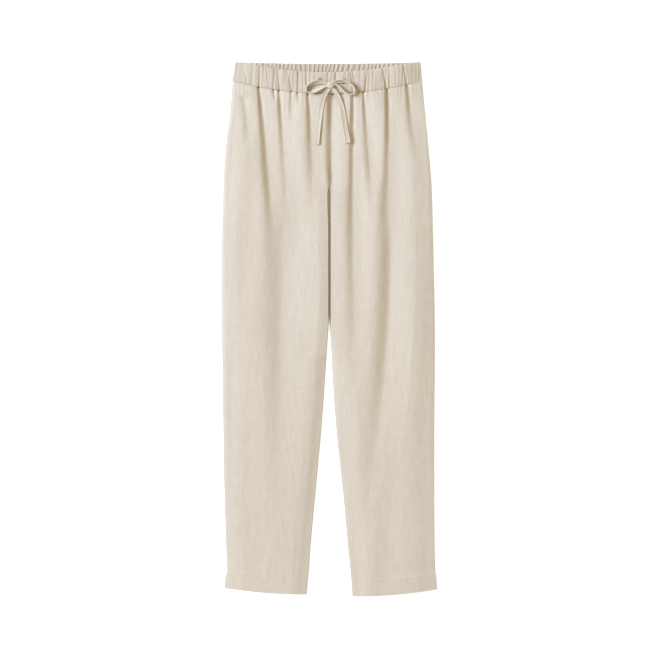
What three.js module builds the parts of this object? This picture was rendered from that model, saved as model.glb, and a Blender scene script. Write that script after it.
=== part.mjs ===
// Tapered pull-on linen trousers, laid out flat on their back.
// Millimetres. +Z is up out of the cloth, +Y runs to the waist, +X is the wearer's left.
// The back panels lie on the surface at z = 0. The front panels and the front waistband lie on them,
// lofted into soft vertical folds, and a flat drawstring is tied in a bow at the centre front.
import * as THREE from "three";

// ---- driving sizes ----
const WALL = 1.4;               // linen panel with its seam allowances
const SEAM_GAP = 0.3;           // clearance between pieces that are sewn together
const HEM_DEPTH = 29;           // turned-up hem
const HEM_EXTRA = 0.8;          // the second layer of cloth in the hem
const WAIST_LOFT = 3.5;         // how far the front stands off the back at the waist
const THIGH_LOFT = 3.5;         // the same at the thigh
const HEM_LOFT = 1.8;           // the same at the hem
const EDGE_ROLL = 4;            // half width of the roll along each free edge
const EDGE_SHARE = 0.35;        // share of the loft that is left beside the side seams
const EDGE_REACH = 60;          // distance from the side seams at which the loft is full

const WAIST_CENTRE = -2;        // centre line of the waistband across X
const WAIST_HALF = 172;         // half of the waistband's relaxed width
const WAIST_TOP = 486;          // top corners of the waistband
const FRONT_DIP = 19.5;         // drop of the front band's top edge at the centre
const BACK_DIP = 3;             // drop of the back band's top edge at the centre
const FRONT_SEAM = 451;         // front waist seam at the side seams
const FRONT_SEAM_DIP = 23;      // drop of the front waist seam at the centre
const BACK_SEAM = 450;          // back waist seam at the side seams
const BACK_SEAM_DIP = 4;        // drop of the back waist seam at the centre

const BAND_WALL = 2.4;          // two layers of linen over the elastic
const BAND_PUFF = 1.0;          // swell of the casing between its edges
const BAND_LOFT = 2.6;          // the front band's loft between its gathers
const BACK_GATHER_PITCH = 8;    // spacing of the fine gathers inside the back band
const BACK_GATHER_RISE = 0.8;   // height of those gathers

const CROTCH = 165;             // foot of the centre-front seam
const RIGHT_CENTRE_DEPTH = 0.9; // share of its loft that the right leg drops at the centre-front seam
const RIGHT_CENTRE_ROLL = 7;    // half width of that drop
const LEFT_CENTRE_DEPTH = 0.6;  // share of its loft that the left leg lacks at the centre-front seam
const LEFT_CENTRE_ROLL = 24;    // half width of its climb from there
const PARTED_DEPTH = 0.6;       // share of the loft that each leg drops at its inner edge below the crotch

const EYELET_RADIUS = 4.6;      // outside of the eyelet's rim
const EYELET_WIRE = 0.8;        // half thickness of the rim
const EYELET_FLOOR = 8.9;       // height of the band's crest under the rim

const TAPE_THICKNESS = 1.6;     // flat drawstring; its routes give its width, 9 where it lies free

// Outline: a row for each level along the legs, with the four edges across it.
// The wearer's right leg is at -X.
const OUTLINE = [
  { y: 486, rightOuter: -171, rightInner: 0, leftInner: 0, leftOuter: 166 },
  { y: 450, rightOuter: -176, rightInner: 0, leftInner: 0, leftOuter: 169.5 },
  { y: 398, rightOuter: -180, rightInner: 0, leftInner: 0, leftOuter: 174.5 },
  { y: 326, rightOuter: -189, rightInner: 0, leftInner: 0, leftOuter: 181.5 },
  { y: 253, rightOuter: -193, rightInner: 0, leftInner: 0, leftOuter: 187 },
  { y: 71, rightOuter: -196.5, rightInner: 0, leftInner: 0, leftOuter: 191.5 },
  { y: 29, rightOuter: -196.2, rightInner: 0, leftInner: 0, leftOuter: 192.3 },
  { y: -20, rightOuter: -195.5, rightInner: -2.5, leftInner: 3.2, leftOuter: 192.6 },
  { y: -75, rightOuter: -194.5, rightInner: -6, leftInner: 5.3, leftOuter: 192.5 },
  { y: -184, rightOuter: -193, rightInner: -14, leftInner: 12.9, leftOuter: 191.5 },
  { y: -293, rightOuter: -191, rightInner: -24, leftInner: 24.5, leftOuter: 191.5 },
  { y: -402, rightOuter: -187.5, rightInner: -34, leftInner: 34.5, leftOuter: 192.5 },
  { y: -440, rightOuter: -186, rightInner: -36.5, leftInner: 38.5, leftOuter: 193.5 },
  { y: -453, rightOuter: -189.5, rightInner: -38, leftInner: 39.5, leftOuter: 195.5 },
  { y: -486, rightOuter: -191.5, rightInner: -40.5, leftInner: 42, leftOuter: 197.2 },
];

// Hem line of each leg: heights at its outer end, its middle and its inner end.
const HEMS = {
  right: { outer: -471, middle: -479.5, inner: -482.5 },
  left: { outer: -473, middle: -483, inner: -486 },
};

// Front folds: a row for each valley. It runs from y = from to y = to, through xTop, xMid and xEnd.
// near and far are the half widths of its flanks at its top, towards -X and +X, and spread is how many
// times wider they are at its end. depth is its share of the loft, and it is fully open from the
// fraction opens of its length to the fraction holds.
const RIGHT_FOLDS = [
  { from: 425, to: 320, xTop: -151, xMid: -152, xEnd: -155, near: 8, far: 14, spread: 1.3, depth: 0.2, opens: 0.2, holds: 0.5 },
  { from: 448, to: 250, xTop: -126.5, xMid: -114.5, xEnd: -106, near: 6, far: 14, spread: 2.2, depth: 0.8, opens: 0, holds: 0.4 },
  { from: 442, to: 414, xTop: -103, xMid: -100, xEnd: -97, near: 5, far: 7, spread: 1.2, depth: 0.32, opens: 0, holds: 0.3 },
  { from: 442, to: 150, xTop: -88, xMid: -78, xEnd: -74, near: 7, far: 14, spread: 2.6, depth: 0.68, opens: 0, holds: 0.6 },
  { from: 300, to: -390, xTop: -76, xMid: -86, xEnd: -82, near: 27, far: 46, spread: 0.9, depth: 0.92, opens: 0.22, holds: 0.3 },
  { from: 438, to: 380, xTop: -69, xMid: -68, xEnd: -66, near: 5, far: 7, spread: 1.5, depth: 0.3, opens: 0, holds: 0.4 },
  { from: 436, to: 400, xTop: -55.5, xMid: -55, xEnd: -54, near: 5, far: 8, spread: 1.3, depth: 0.38, opens: 0, holds: 0.4 },
  { from: 434, to: 180, xTop: -36, xMid: -26, xEnd: -27, near: 7, far: 15, spread: 2.2, depth: 0.75, opens: 0, holds: 0.35 },
];
const LEFT_FOLDS = [
  { from: 434, to: -150, xTop: 47.5, xMid: 47.5, xEnd: 42, near: 8, far: 14, spread: 2.8, depth: 0.88, opens: 0, holds: 0.3 },
  { from: 436, to: 290, xTop: 66, xMid: 69, xEnd: 71, near: 6, far: 12, spread: 1.8, depth: 0.5, opens: 0, holds: 0.35 },
  { from: 440, to: 240, xTop: 107, xMid: 112, xEnd: 113, near: 7, far: 15, spread: 2.4, depth: 0.85, opens: 0, holds: 0.6 },
  { from: 330, to: -340, xTop: 113, xMid: 113, xEnd: 92, near: 22, far: 26, spread: 1.1, depth: 0.9, opens: 0.3, holds: 0.36 },
  { from: 448, to: 285, xTop: 142, xMid: 150, xEnd: 168, near: 6, far: 12, spread: 2.4, depth: 0.68, opens: 0, holds: 0.4 },
  { from: 400, to: 300, xTop: 22, xMid: 24, xEnd: 26, near: 8, far: 12, spread: 1.2, depth: 0.15, opens: 0.3, holds: 0.6 },
];

// Gathers of the front band: a row for each valley. It leans from x by slant down to the waist seam.
const GATHERS = [
  { x: -158, slant: 6, width: 3.2, depth: 0.7 },
  { x: -140, slant: -1, width: 2.6, depth: 0.8 },
  { x: -126, slant: 0, width: 3.0, depth: 1.0 },
  { x: -112, slant: 3, width: 2.6, depth: 0.35 },
  { x: -100, slant: -1, width: 3.0, depth: 0.45 },
  { x: -91, slant: 2, width: 2.8, depth: 0.75 },
  { x: -78, slant: 1, width: 2.4, depth: 0.55 },
  { x: -74, slant: 8, width: 2.8, depth: 0.75 },
  { x: -55.5, slant: 0, width: 3.0, depth: 0.9 },
  { x: -41, slant: 3, width: 2.8, depth: 0.95 },
  { x: -10, slant: 2, width: 2.6, depth: 0.5 },
  { x: 1, slant: 3, width: 2.6, depth: 0.6 },
  { x: 10.5, slant: 0, width: 2.6, depth: 0.7 },
  { x: 39, slant: 2, width: 2.6, depth: 0.8 },
  { x: 47, slant: 1, width: 2.8, depth: 0.95 },
  { x: 66.5, slant: -1, width: 3.0, depth: 0.75 },
  { x: 83, slant: 2, width: 3.0, depth: 0.3 },
  { x: 99, slant: 6, width: 2.8, depth: 0.9 },
  { x: 110, slant: -2, width: 2.6, depth: 0.8 },
  { x: 135, slant: 8, width: 3.0, depth: 0.95 },
  { x: 150, slant: 2, width: 3.0, depth: 0.35 },
];

const EYELETS = {
  right: { x: -16.5, y: 450.5 },
  left: { x: 26.5, y: 449.5 },
};

// squareness below 1 swells the knot's corners, from a ball towards a cushion shape.
const KNOT = { x: 3, y: 443, z: 12.8, halfX: 5.4, halfY: 6.6, halfZ: 3.6, squareness: 0.6 };

// Drawstring: a row for each point of its middle line. lean turns the tape about that line, in degrees:
// 0 lies flat and 90 stands on its edge. It is bunched narrower in the eyelets and at the knot.
const LEADS = {
  right: [
    { x: -17, y: 450.6, z: 9.6, lean: 0, width: 3.6 },
    { x: -16.2, y: 450.4, z: 11, lean: 0, width: 3.6 },
    { x: -13.6, y: 449.7, z: 12, lean: 0, width: 4 },
    { x: -8.5, y: 448, z: 11.3, lean: 0, width: 4 },
    { x: -2.4, y: 446, z: 10.8, lean: 0, width: 4 },
  ],
  left: [
    { x: 27, y: 449.6, z: 9.6, lean: 0, width: 3.6 },
    { x: 26.2, y: 449.4, z: 11, lean: 0, width: 3.6 },
    { x: 23.4, y: 448.6, z: 12, lean: 0, width: 4 },
    { x: 16, y: 447.4, z: 11.3, lean: 0, width: 4 },
    { x: 8.4, y: 446.2, z: 10.8, lean: 0, width: 4 },
  ],
};
const LOOPS = {
  right: [
    { x: -2.6, y: 446.6, z: 14.3, lean: 20, width: 5.5 },
    { x: -11, y: 447.8, z: 15.6, lean: 28, width: 7.5 },
    { x: -22, y: 446.5, z: 15.8, lean: 34, width: 9 },
    { x: -32, y: 444, z: 15.4, lean: 46, width: 9 },
    { x: -39.5, y: 440, z: 14.6, lean: 70, width: 9 },
    { x: -41.5, y: 435.5, z: 14, lean: 95, width: 9 },
    { x: -38, y: 431.5, z: 13.8, lean: 115, width: 9 },
    { x: -30, y: 431.5, z: 13.8, lean: 130, width: 9 },
    { x: -20, y: 435.5, z: 14, lean: 138, width: 9 },
    { x: -11, y: 439.6, z: 13.4, lean: 146, width: 7 },
    { x: -2.8, y: 441.2, z: 12.8, lean: 155, width: 5 },
  ],
  left: [
    { x: 8.7, y: 446.8, z: 14.3, lean: -30, width: 5.5 },
    { x: 16, y: 449, z: 16.2, lean: -50, width: 7.5 },
    { x: 25, y: 449.6, z: 16.8, lean: -55, width: 9 },
    { x: 34, y: 446.8, z: 16.2, lean: -62, width: 9 },
    { x: 42, y: 441.6, z: 15, lean: -76, width: 9 },
    { x: 46, y: 434.6, z: 14.4, lean: -90, width: 9 },
    { x: 44, y: 428.2, z: 14, lean: -100, width: 9 },
    { x: 38, y: 426, z: 13.8, lean: -110, width: 9 },
    { x: 29, y: 429.6, z: 14, lean: -117, width: 9 },
    { x: 21, y: 436.2, z: 14.2, lean: -121, width: 9 },
    { x: 14.6, y: 441.2, z: 14.4, lean: -127, width: 7 },
    { x: 8.8, y: 442.2, z: 13, lean: -145, width: 5 },
  ],
};
const TAILS = {
  right: [
    { x: 0.4, y: 435.8, z: 12, lean: 8, width: 6 },
    { x: -5, y: 430, z: 10.9, lean: 8, width: 7.5 },
    { x: -10.5, y: 421, z: 9.3, lean: 6, width: 8.5 },
    { x: -14.5, y: 410.5, z: 8.4, lean: 4, width: 9 },
    { x: -17, y: 398, z: 8.2, lean: 0, width: 9 },
    { x: -18.7, y: 385, z: 8.2, lean: -4, width: 9 },
    { x: -20, y: 369, z: 8.1, lean: -6, width: 9 },
    { x: -21.3, y: 352, z: 8, lean: -4, width: 9 },
    { x: -22, y: 335, z: 8, lean: 0, width: 9 },
  ],
  left: [
    { x: 6.4, y: 435.8, z: 12, lean: -8, width: 6 },
    { x: 12.5, y: 430, z: 10.9, lean: -8, width: 7.5 },
    { x: 19, y: 421, z: 9.3, lean: -4, width: 8.5 },
    { x: 24, y: 410, z: 8.4, lean: 0, width: 9 },
    { x: 27, y: 396, z: 8.2, lean: 5, width: 9.4 },
    { x: 28.8, y: 380, z: 8.1, lean: 6, width: 9.6 },
    { x: 30.8, y: 364, z: 8.1, lean: 4, width: 9.6 },
    { x: 32.8, y: 350, z: 8, lean: 0, width: 9.8 },
    { x: 34.6, y: 338, z: 8, lean: 0, width: 10 },
  ],
};

// ---- materials ----
const linen = new THREE.MeshStandardMaterial({ color: 0xdcd2c4, roughness: 0.92, metalness: 0 });
const tape = new THREE.MeshStandardMaterial({ color: 0xe0d7ca, roughness: 0.92, metalness: 0 });
const darkMetal = new THREE.MeshStandardMaterial({ color: 0x5b5158, roughness: 0.4, metalness: 0.9 });

// ---- small helpers ----
const mix = (a, b, t) => a + (b - a) * t;
const bell = (distance, width) => Math.exp(-((distance / width) ** 2));

// The value of a named column of a table of rows, at height y. It is eased between rows and never
// passes their values.
function columnAt(rows, column, y) {
  const last = rows.length - 2;
  const found = rows.findIndex((entry, index) => index <= last && y >= rows[index + 1].y);
  const start = found < 0 ? last : found;
  const slope = (index) => {
    const from = rows[THREE.MathUtils.clamp(index, 0, last)];
    const to = rows[THREE.MathUtils.clamp(index, 0, last) + 1];
    return (to[column] - from[column]) / (to.y - from.y);
  };
  const easedSlope = (a, b) => (a * b <= 0 ? 0 : 2 * a * b / (a + b));
  const [here, next] = [rows[start], rows[start + 1]];
  const startSlope = easedSlope(slope(start - 1), slope(start));
  const endSlope = easedSlope(slope(start), slope(start + 1));
  const span = next.y - here.y;
  const t = (y - here.y) / span;
  const [t2, t3] = [t * t, t * t * t];
  return (2 * t3 - 3 * t2 + 1) * here[column] + (t3 - 2 * t2 + t) * span * startSlope
    + (3 * t2 - 2 * t3) * next[column] + (t3 - t2) * span * endSlope;
}

const outlineAt = (column, y) => columnAt(OUTLINE, column, y);

// Distance from the waist's centre line, as a share of its half width.
const acrossWaist = (x) => Math.min(1, Math.abs(x - WAIST_CENTRE) / WAIST_HALF);

const frontTopEdge = (x) => WAIST_TOP - FRONT_DIP * (1 - acrossWaist(x) ** 2) ** 1.3;
const backTopEdge = (x) => WAIST_TOP - BACK_DIP * (1 - acrossWaist(x) ** 2);
const frontSeam = (x) => FRONT_SEAM - FRONT_SEAM_DIP * (1 - acrossWaist(x) ** 2);
const backSeam = (x) => BACK_SEAM - BACK_SEAM_DIP * (1 - acrossWaist(x) ** 2);

// Height of a leg's hem line, as a parabola through its outer end, middle and inner end.
function hemLine(side, inward) {
  const { outer, middle, inner } = HEMS[side];
  const bow = middle - (outer + inner) / 2;
  return mix(outer, inner, inward) + 4 * bow * inward * (1 - inward);
}

// ---- the lie of the front cloth ----

// How deep a fold is at a point, from 0 outside it to its depth in its bed.
function foldAt(fold, x, y) {
  const t = (fold.from - y) / (fold.from - fold.to);
  if (t <= 0 || t >= 1) return 0;
  const bend = 2 * fold.xMid - (fold.xTop + fold.xEnd) / 2;
  const middle = (1 - t) ** 2 * fold.xTop + 2 * t * (1 - t) * bend + t ** 2 * fold.xEnd;
  const rise = fold.opens > 0 ? THREE.MathUtils.smoothstep(t, 0, fold.opens) : 1;
  const fall = 1 - THREE.MathUtils.smoothstep(t, fold.holds, 1);
  const width = (x < middle ? fold.near : fold.far) * mix(1, fold.spread, t);
  return fold.depth * rise * fall * bell(x - middle, width);
}

// Loft of the front over the back, fullest at the waist and flattest at the hem.
function loftAt(y) {
  const thigh = mix(THIGH_LOFT, WAIST_LOFT, THREE.MathUtils.smoothstep(y, 200, FRONT_SEAM));
  return mix(HEM_LOFT, thigh, THREE.MathUtils.smoothstep(y, -470, 100));
}

// Share of the loft that is left at a distance in from a side seam.
function besideEdge(distance) {
  const inner = mix(EDGE_SHARE, 1, THREE.MathUtils.smoothstep(distance, 0, EDGE_REACH));
  return inner * (1 - 0.5 * bell(distance, EDGE_ROLL));
}

// Height of the underside of a front leg above the floor.
function frontUnder(side, x, y) {
  const outward = Math.abs(x - outlineAt(`${side}Outer`, y));
  const inward = Math.abs(x - outlineAt(`${side}Inner`, y));
  const parted = 1 - THREE.MathUtils.smoothstep(y, CROTCH - 60, CROTCH + 40);
  const joinedDepth = side === "right" ? RIGHT_CENTRE_DEPTH : LEFT_CENTRE_DEPTH;
  const roll = side === "right" ? RIGHT_CENTRE_ROLL : LEFT_CENTRE_ROLL;
  let share = besideEdge(outward) * (1 - mix(joinedDepth, PARTED_DEPTH, parted) * bell(inward, roll));
  for (const fold of side === "right" ? RIGHT_FOLDS : LEFT_FOLDS) share *= 1 - foldAt(fold, x, y);
  return WALL + SEAM_GAP + loftAt(y) * share;
}

// Share of the front band's loft that is left between its gathers.
function gatherShare(x, y) {
  const down = THREE.MathUtils.clamp((frontTopEdge(x) - y) / (frontTopEdge(x) - frontSeam(x)), 0, 1);
  let share = besideEdge(WAIST_HALF * (1 - acrossWaist(x)));
  for (const gather of GATHERS) {
    share *= 1 - gather.depth * bell(x - gather.x - gather.slant * down, gather.width);
  }
  return share;
}

// ---- shells of cloth ----

// A closed wall over a grid of columns across and rows along. place(u, v) gives x, y and the heights
// of its underside and its upper side.
function wallGeometry(columns, rows, place) {
  const places = [];
  for (let row = 0; row <= rows; row += 1) {
    for (let column = 0; column <= columns; column += 1) places.push(place(column / columns, row / rows));
  }
  const positions = [
    ...places.flatMap((point) => [point.x, point.y, point.over]),
    ...places.flatMap((point) => [point.x, point.y, point.under]),
  ];
  const count = places.length;
  const upper = (column, row) => row * (columns + 1) + column;
  const indices = [];
  const quad = (a, b, c, d) => indices.push(a, b, c, a, c, d);
  for (let row = 0; row < rows; row += 1) {
    for (let column = 0; column < columns; column += 1) {
      const [a, b] = [upper(column, row), upper(column + 1, row)];
      const [c, d] = [upper(column + 1, row + 1), upper(column, row + 1)];
      quad(a, d, c, b);
      quad(a + count, b + count, c + count, d + count);
    }
  }
  for (let column = 0; column < columns; column += 1) {
    const [a, b] = [upper(column, 0), upper(column + 1, 0)];
    const [c, d] = [upper(column, rows), upper(column + 1, rows)];
    quad(a, b, b + count, a + count);
    quad(d, c, c + count, d + count);
  }
  for (let row = 0; row < rows; row += 1) {
    const [a, b] = [upper(0, row), upper(0, row + 1)];
    const [c, d] = [upper(columns, row), upper(columns, row + 1)];
    quad(b, a, a + count, b + count);
    quad(c, d, d + count, c + count);
  }
  const geometry = new THREE.BufferGeometry();
  geometry.setAttribute("position", new THREE.Float32BufferAttribute(positions, 3));
  geometry.setIndex(indices);
  return geometry;
}

// A point of a leg: across goes from the wearer's right to left over the leg, down from waist to hem.
function legPoint(side, seam, across, down) {
  const [start, end] = side === "right" ? ["rightOuter", "rightInner"] : ["leftInner", "leftOuter"];
  const gap = side === "right" ? [0, -SEAM_GAP / 2] : [SEAM_GAP / 2, 0];
  const inward = side === "right" ? across : 1 - across;
  let [x, y] = [0, mix(FRONT_SEAM, HEMS[side].middle, down)];
  for (let pass = 0; pass < 4; pass += 1) {
    x = mix(outlineAt(start, y) + gap[0], outlineAt(end, y) + gap[1], across);
    y = mix(seam(x) - SEAM_GAP, hemLine(side, inward), down);
  }
  return { x, y, aboveHem: y - hemLine(side, inward) };
}

const hemExtra = (aboveHem) => HEM_EXTRA * (1 - THREE.MathUtils.smoothstep(aboveHem, HEM_DEPTH - 1, HEM_DEPTH + 3));

// Rows are closest below the waist seam, where the folds are narrowest, and at the top of the hem.
function downAt(v) {
  const hemStart = 0.935;
  return v < 0.9 ? hemStart * (v / 0.9) ** 1.35 : mix(hemStart, 1, (v - 0.9) / 0.1);
}

function frontLeg(side) {
  return wallGeometry(34, 20, (u, v) => {
    const { x, y, aboveHem } = legPoint(side, frontSeam, u, downAt(v));
    const under = frontUnder(side, x, y);
    return { x, y, under, over: under + WALL + hemExtra(aboveHem) };
  });
}

function backLeg(side) {
  return wallGeometry(4, 15, (u, v) => {
    const { x, y } = legPoint(side, backSeam, u, v);
    return { x, y, under: 0, over: WALL };
  });
}

// A point of the waistband between its top edge and its seam.
function bandPoint(topEdge, seam, across, down) {
  let [x, y] = [0, mix(WAIST_TOP, FRONT_SEAM, down)];
  for (let pass = 0; pass < 4; pass += 1) {
    x = mix(outlineAt("rightOuter", y), outlineAt("leftOuter", y), across);
    y = mix(topEdge(x), seam(x), down);
  }
  return { x, y };
}

function frontWaistband() {
  return wallGeometry(98, 3, (u, v) => {
    const { x, y } = bandPoint(frontTopEdge, frontSeam, u, v);
    const under = WALL + BACK_GATHER_RISE + SEAM_GAP + BAND_LOFT * gatherShare(x, y);
    return { x, y, under, over: under + BAND_WALL + BAND_PUFF * Math.sin(Math.PI * v) };
  });
}

function backWaistband() {
  const waves = Math.round(2 * WAIST_HALF / BACK_GATHER_PITCH);
  return wallGeometry(waves * 4, 1, (u, v) => {
    const { x, y } = bandPoint(backTopEdge, backSeam, u, v);
    const crest = 0.5 - 0.5 * Math.cos(2 * Math.PI * waves * u);
    return { x, y, under: 0, over: WALL + BACK_GATHER_RISE * crest };
  });
}

// ---- eyelets and drawstring ----

function eyelet(side) {
  const geometry = new THREE.TorusGeometry(EYELET_RADIUS - EYELET_WIRE, EYELET_WIRE, 6, 16);
  const mesh = new THREE.Mesh(geometry, darkMetal);
  mesh.position.set(EYELETS[side].x, EYELETS[side].y, EYELET_FLOOR + SEAM_GAP + EYELET_WIRE);
  return mesh;
}

// A flat tape swept along a route, with its width turned by each row's lean.
function tapeGeometry(route, steps) {
  const path = new THREE.CatmullRomCurve3(route.map((row) => new THREE.Vector3(row.x, row.y, row.z)));
  const half = TAPE_THICKNESS / 2;
  const corner = half * 0.6;
  // Corners of the section: which edge, how far in from it, and the height above the middle.
  const section = [
    [1, 0, corner - half], [1, 0, half - corner], [1, corner, half], [-1, corner, half],
    [-1, 0, half - corner], [-1, 0, corner - half], [-1, corner, -half], [1, corner, -half],
  ];
  const positions = [];
  for (let step = 0; step <= steps; step += 1) {
    const at = step / steps * (route.length - 1);
    const row = Math.min(Math.floor(at), route.length - 2);
    const lean = THREE.MathUtils.degToRad(mix(route[row].lean, route[row + 1].lean, at - row));
    const halfWidth = mix(route[row].width, route[row + 1].width, at - row) / 2;
    const point = path.getPoint(step / steps);
    const along = path.getTangent(step / steps);
    const aside = along.clone().cross(new THREE.Vector3(0, 0, 1)).normalize();
    const lift = aside.clone().cross(along);
    const across = aside.clone().multiplyScalar(Math.cos(lean)).addScaledVector(lift, Math.sin(lean));
    const outward = across.clone().cross(along);
    for (const [edge, inset, height] of section) {
      const place = point.clone().addScaledVector(across, edge * (halfWidth - inset));
      positions.push(...place.addScaledVector(outward, height).toArray());
    }
  }
  const sides = section.length;
  const indices = [];
  for (let step = 0; step < steps; step += 1) {
    for (let side = 0; side < sides; side += 1) {
      const next = (side + 1) % sides;
      const [a, b] = [step * sides + side, step * sides + next];
      indices.push(a, b + sides, b, a, a + sides, b + sides);
    }
  }
  for (let side = 1; side < sides - 1; side += 1) {
    indices.push(0, side, side + 1);
    indices.push(steps * sides, steps * sides + side + 1, steps * sides + side);
  }
  const geometry = new THREE.BufferGeometry();
  geometry.setAttribute("position", new THREE.Float32BufferAttribute(positions, 3));
  geometry.setIndex(indices);
  return geometry;
}

function knot() {
  const geometry = new THREE.SphereGeometry(1, 16, 10);
  const swell = (value) => Math.sign(value) * Math.abs(value) ** KNOT.squareness;
  const positions = geometry.attributes.position;
  positions.array.forEach((value, index) => {
    positions.array[index] = Math.abs(value) < 1e-6 ? 0 : swell(value);
  });
  const mesh = new THREE.Mesh(geometry, tape);
  mesh.scale.set(KNOT.halfX, KNOT.halfY, KNOT.halfZ);
  mesh.position.set(KNOT.x, KNOT.y, KNOT.z);
  return mesh;
}

// ---- the trousers ----
const trousers = new THREE.Group();

function add(name, piece, material) {
  const mesh = piece.isMesh ? piece : new THREE.Mesh(piece, material);
  mesh.name = name;
  trousers.add(mesh);
}

add("front_waistband", frontWaistband(), linen);
add("back_waistband", backWaistband(), linen);
for (const side of ["right", "left"]) {
  add(`front_${side}_leg`, frontLeg(side), linen);
  add(`back_${side}_leg`, backLeg(side), linen);
  add(`${side}_eyelet`, eyelet(side), darkMetal);
  add(`drawstring_${side}_lead`, tapeGeometry(LEADS[side], 5), tape);
  add(`drawstring_${side}_loop`, tapeGeometry(LOOPS[side], 16), tape);
  add(`drawstring_${side}_tail`, tapeGeometry(TAILS[side], 10), tape);
}
add("drawstring_knot", knot(), tape);

export default trousers;
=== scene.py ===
"""Tapered linen trousers laid out flat, with a gathered waistband and a drawstring tied in a bow.

The shapes are worked out in millimetres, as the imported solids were, and become metres in mesh_piece.
+Y runs to the waist, +X is the wearer's left and the surface that the cloth lies on is z = 0.
"""
import math
from collections import namedtuple

import bpy
import numpy as np
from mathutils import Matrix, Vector


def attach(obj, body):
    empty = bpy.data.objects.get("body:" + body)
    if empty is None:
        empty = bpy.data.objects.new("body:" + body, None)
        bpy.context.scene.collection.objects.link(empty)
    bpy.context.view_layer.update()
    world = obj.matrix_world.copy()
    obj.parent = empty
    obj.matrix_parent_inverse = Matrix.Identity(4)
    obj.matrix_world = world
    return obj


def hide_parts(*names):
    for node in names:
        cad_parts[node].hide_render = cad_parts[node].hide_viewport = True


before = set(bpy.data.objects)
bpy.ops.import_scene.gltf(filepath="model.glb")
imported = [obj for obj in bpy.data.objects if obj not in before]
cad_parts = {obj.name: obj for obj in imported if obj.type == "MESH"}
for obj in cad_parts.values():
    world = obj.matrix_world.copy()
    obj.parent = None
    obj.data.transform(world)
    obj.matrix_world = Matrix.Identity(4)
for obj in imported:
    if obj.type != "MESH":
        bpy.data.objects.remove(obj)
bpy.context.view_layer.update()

# ---- driving sizes, mm ----
WALL = 1.4                 # panel thickness in the solids
SEAM_GAP = 0.3             # clearance between sewn pieces in the solids
CLOTH = 0.7                # thickness of the visible cloth
STACK = WALL + SEAM_GAP + WALL     # a back and a front panel, as the solids lie
PRESSED = 2 * CLOTH + 0.15         # the same two panels, pressed thin at a free edge
FAR = 900                  # a distance at which an edge or a hem no longer has any effect
HEM_DEPTH = 29             # turned-up hem
HEM_EXTRA = 0.8            # the second layer of cloth in the hem
HEM_DITCH = 0.3            # depth of the line that the hem's stitches draw in
HEM_STITCH_DROP = 0.6      # distance of those stitches below the hem's upper edge
WAIST_LOFT = 3.5           # how far the front stands off the back at the waist, before FULLNESS
THIGH_LOFT = 3.5           # the same at the thigh
HEM_LOFT = 1.2             # the same at the hem
FULLNESS = 2.0             # multiple of those lofts that the visible cloth has
EDGE_ROLL = 4              # half width of the roll along each free edge
EDGE_THINNING = 34         # distance from a free edge over which the layers reach full thickness
# Beside a side seam share of the loft is left, and it is full at reach. roll is the drop in the last
# few mm and turn the radius at which the cloth turns down to the seam.
SideSlope = namedtuple("SideSlope", "share reach roll turn")
SIDE_SLOPES = {"right": SideSlope(0.5, 90, 0.3, 0.9), "left": SideSlope(0.75, 50, 0.1, 0.5)}
INNER_TURN = {"right": 0.9, "left": 0.7}   # the same radius at a front leg's inner edge

WAIST_CENTRE = -2          # centre line of the waistband across X
WAIST_HALF = 172           # half of the waistband's relaxed width
WAIST_TOP = 486            # top corners of the waistband
FRONT_DIP = 19.5           # drop of the front band's top edge at the centre
BACK_DIP = 3               # drop of the back band's top edge at the centre
FRONT_SEAM = 451           # front waist seam at the side seams
FRONT_SEAM_DIP = 23        # drop of the front waist seam at the centre
BACK_SEAM = 450            # back waist seam at the side seams
BACK_SEAM_DIP = 4          # drop of the back waist seam at the centre
TUCK = 1.7                 # a leg's top edge goes this far up under the band

BAND_WALL = 2.4            # two layers of linen over the elastic
BAND_PUFF = 1.0            # swell of the casing between its edges
BAND_LOFT = 2.6            # the front band's loft between its gathers, before BAND_FULLNESS
BAND_FULLNESS = 1.2        # multiple of that loft that the visible band has
GATHER_DEPTH = 0.66        # share of the band's loft lost in its deepest gather
BACK_GATHER_PITCH = 8      # mean spacing of the gathers inside the back band
BACK_GATHER_RISE = 0.8     # height of those gathers
BACK_LIP = 3               # how far the back band's top edge curls up

PARTED = 29                # below this the legs no longer touch
CENTRE_CREASE = 4.5        # x of the crease between the legs above the slot
CENTRE_DEPTH = 0.95        # its depth, a share of the loft
CENTRE_ROLL = 8.5          # the right leg's roll down into it, where that is widest
CENTRE_ROLL_LOW = 5        # the same at the slot
CENTRE_CLIMB = 42          # the left leg's climb from the centre
CENTRE_SLOPE = 0.25        # the right leg's gentler drop beside the slot
LEFT_CENTRE_DEPTH = 0.45   # the left leg's drop beside the slot, a share of the loft
SLOT_TOP = 253             # below this the legs' inner edges part by a dark slot
SLOT_SHIFT = {"right": (-2.1, -0.56), "left": (2.94, 2.8)}   # inner edges' move in x, at its top and lower

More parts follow.
